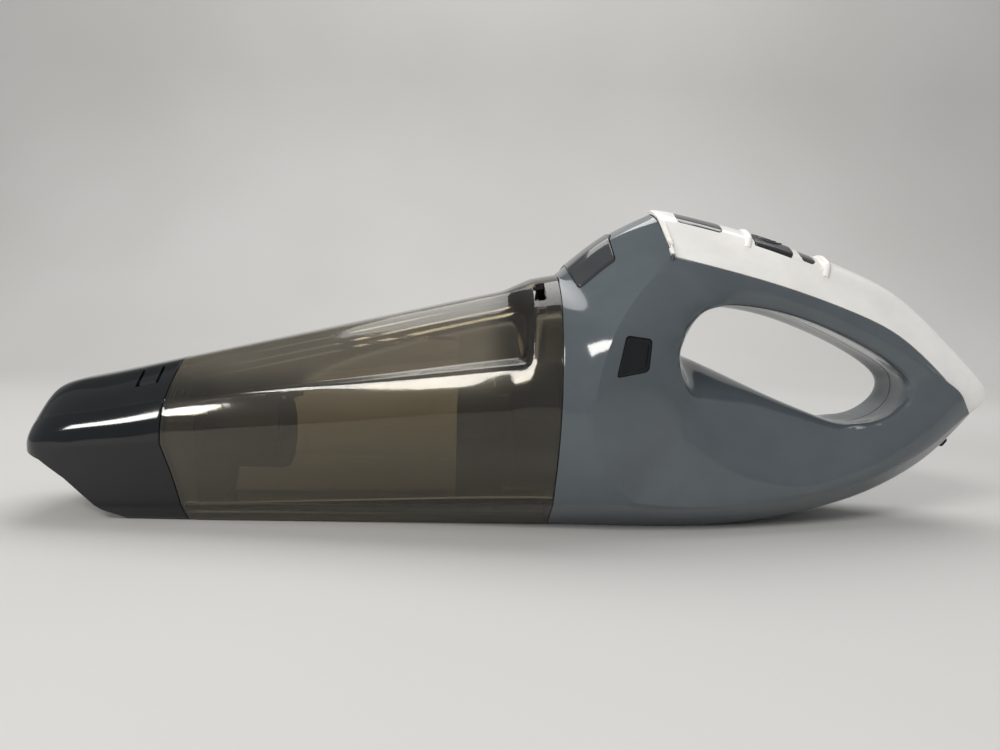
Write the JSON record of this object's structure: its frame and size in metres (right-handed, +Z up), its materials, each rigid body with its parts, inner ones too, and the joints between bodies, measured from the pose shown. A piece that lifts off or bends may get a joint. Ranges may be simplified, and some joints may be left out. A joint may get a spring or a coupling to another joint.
{
  "type": "handheld vacuum cleaner",
  "caption": "Cordless handheld vacuum: loop-handled grey motor body with white top strip, smoked clear dust bin and black clip-on nozzle with a scoop mouth.",
  "frame": {"origin": "centre of the bounding box's underside, on the plane the tool's flat belly rests on", "axes": "+X runs from the nozzle to the tail along the tool, +Y to its right side, +Z up"},
  "size_m": [0.4134, 0.1038, 0.1334],
  "materials": {
    "grey_gloss": "gloss",
    "white_gloss": "gloss",
    "black_gloss": "gloss",
    "smoked_clear": "smoked clear plastic, gloss",
    "dark_lens": "gloss",
    "black_button": "satin",
    "black_matte": "matte",
    "rubber_black": "matte",
    "filter_paper": "matte",
    "steel": "satin",
    "motor_can": "satin",
    "board_green": "satin",
    "cell_sleeve": "satin",
    "led_white": "gloss",
    "wire_red": "satin",
    "wire_black": "satin"
  },
  "bodies": {
    "motor_body": {"left_housing": "grey_gloss", "right_housing": "grey_gloss", "top_cover": "white_gloss", "display_lens": "dark_lens", "indicator_lens": "dark_lens", "release_spring": "steel", "left_vent_cover": "black_gloss", "right_vent_cover": "black_gloss", "charge_socket": "black_matte", "motor_bulkhead": "black_matte", "fan_housing": "black_matte", "motor": "motor_can", "motor_mount": "rubber_black", "battery_cell_1": "cell_sleeve", "battery_cell_2": "cell_sleeve", "cell_holder": "black_matte", "control_board": "board_green", "display_module": "black_matte", "power_switch": "black_matte", "indicator_led": "led_white", "lead_red": "wire_red", "lead_black": "wire_black", "housing_screw_1": "steel", "housing_screw_2": "steel", "housing_screw_3": "steel", "housing_screw_4": "steel"},
    "bin": {"dust_bin": "smoked_clear", "inlet_duct": "black_matte", "flap_pin": "steel"},
    "nozzle": {"front_nozzle": "black_gloss"},
    "filter": {"filter_frame": "black_matte", "filter_screen": "steel", "pleated_filter": "filter_paper", "filter_seal": "rubber_black"},
    "flap": {"flap_valve": "rubber_black"},
    "rotor": {"impeller": "black_matte", "motor_shaft": "steel"},
    "release": {"release_button": "dark_lens", "latch": "black_matte"},
    "power": {"power_button": "black_button"},
    "charge_cap": {"charge_cover": "rubber_black"}
  },
  "joints": [
    {"name": "bin_pull", "type": "slide", "parent": "motor_body", "child": "bin", "axis": [-1, 0, 0], "range_m": [0, 0.12]},
    {"name": "filter_pull", "type": "slide", "parent": "bin", "child": "filter", "axis": [1, 0, 0], "range_m": [0, 0.06]},
    {"name": "nozzle_pull", "type": "slide", "parent": "bin", "child": "nozzle", "axis": [-1, 0, 0], "range_m": [0, 0.05]},
    {"name": "flap_swing", "type": "hinge", "parent": "bin", "child": "flap", "pos_m": [-0.1025, 0, 0.0498], "axis": [0, -1, 0], "range_deg": [0, 60]},
    {"name": "fan_spin", "type": "hinge", "parent": "motor_body", "child": "rotor", "pos_m": [0.03, 0, 0.038], "axis": [1, 0, 0], "continuous": true},
    {"name": "release_press", "type": "slide", "parent": "motor_body", "child": "release", "axis": [0.5878, 0, -0.809], "range_m": [0, 0.0028], "stiffness_N_per_m": 800, "springref_m": -0.001, "deforming": ["release_spring"]},
    {"name": "power_press", "type": "slide", "parent": "motor_body", "child": "power", "axis": [-0.3173, 0, -0.9483], "range_m": [0, 0.0009], "stiffness_N_per_m": 900, "springref_m": -0.0005},
    {"name": "charge_cover_pull", "type": "slide", "parent": "motor_body", "child": "charge_cap", "axis": [0.788, 0, -0.6157], "range_m": [0, 0.008]}
  ],
  "couplings": [
    {"joint": "filter_pull", "follows": "bin_pull", "ratio": 0.5}
  ]
}
